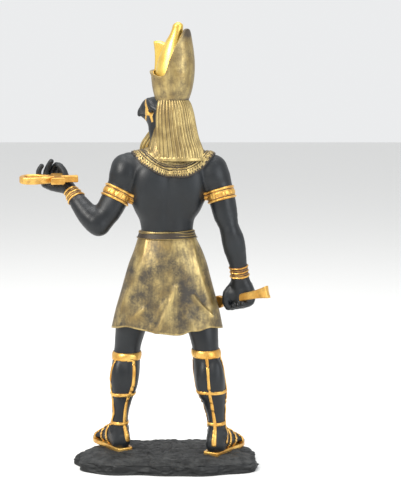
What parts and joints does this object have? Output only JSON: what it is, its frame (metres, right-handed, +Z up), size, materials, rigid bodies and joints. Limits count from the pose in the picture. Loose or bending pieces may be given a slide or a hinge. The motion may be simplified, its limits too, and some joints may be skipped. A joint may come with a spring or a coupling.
{
  "type": "horus statue",
  "caption": "Falcon-headed standing figure in double crown, striped wig and kilt, holding an ankh and a sickle sword, cast with its rock base.",
  "frame": {"origin": "centre of the rock base's flat underside", "axes": "+Z up, the figure's chest faces -Y and its left hand, with the ankh, is on +X"},
  "size_m": [0.1674, 0.0733, 0.3],
  "materials": {
    "black_resin": "satin cast resin painted black, rougher on the rock",
    "gold_paint": "warm metallic gold paint, worn to brown in its creases",
    "antique_gold": "brushed antique gold over a black ground"
  },
  "bodies": {
    "root": {"figure_and_rock_base": "black_resin", "ankh": "gold_paint", "khopesh": "antique_gold"}
  },
  "joints": []
}
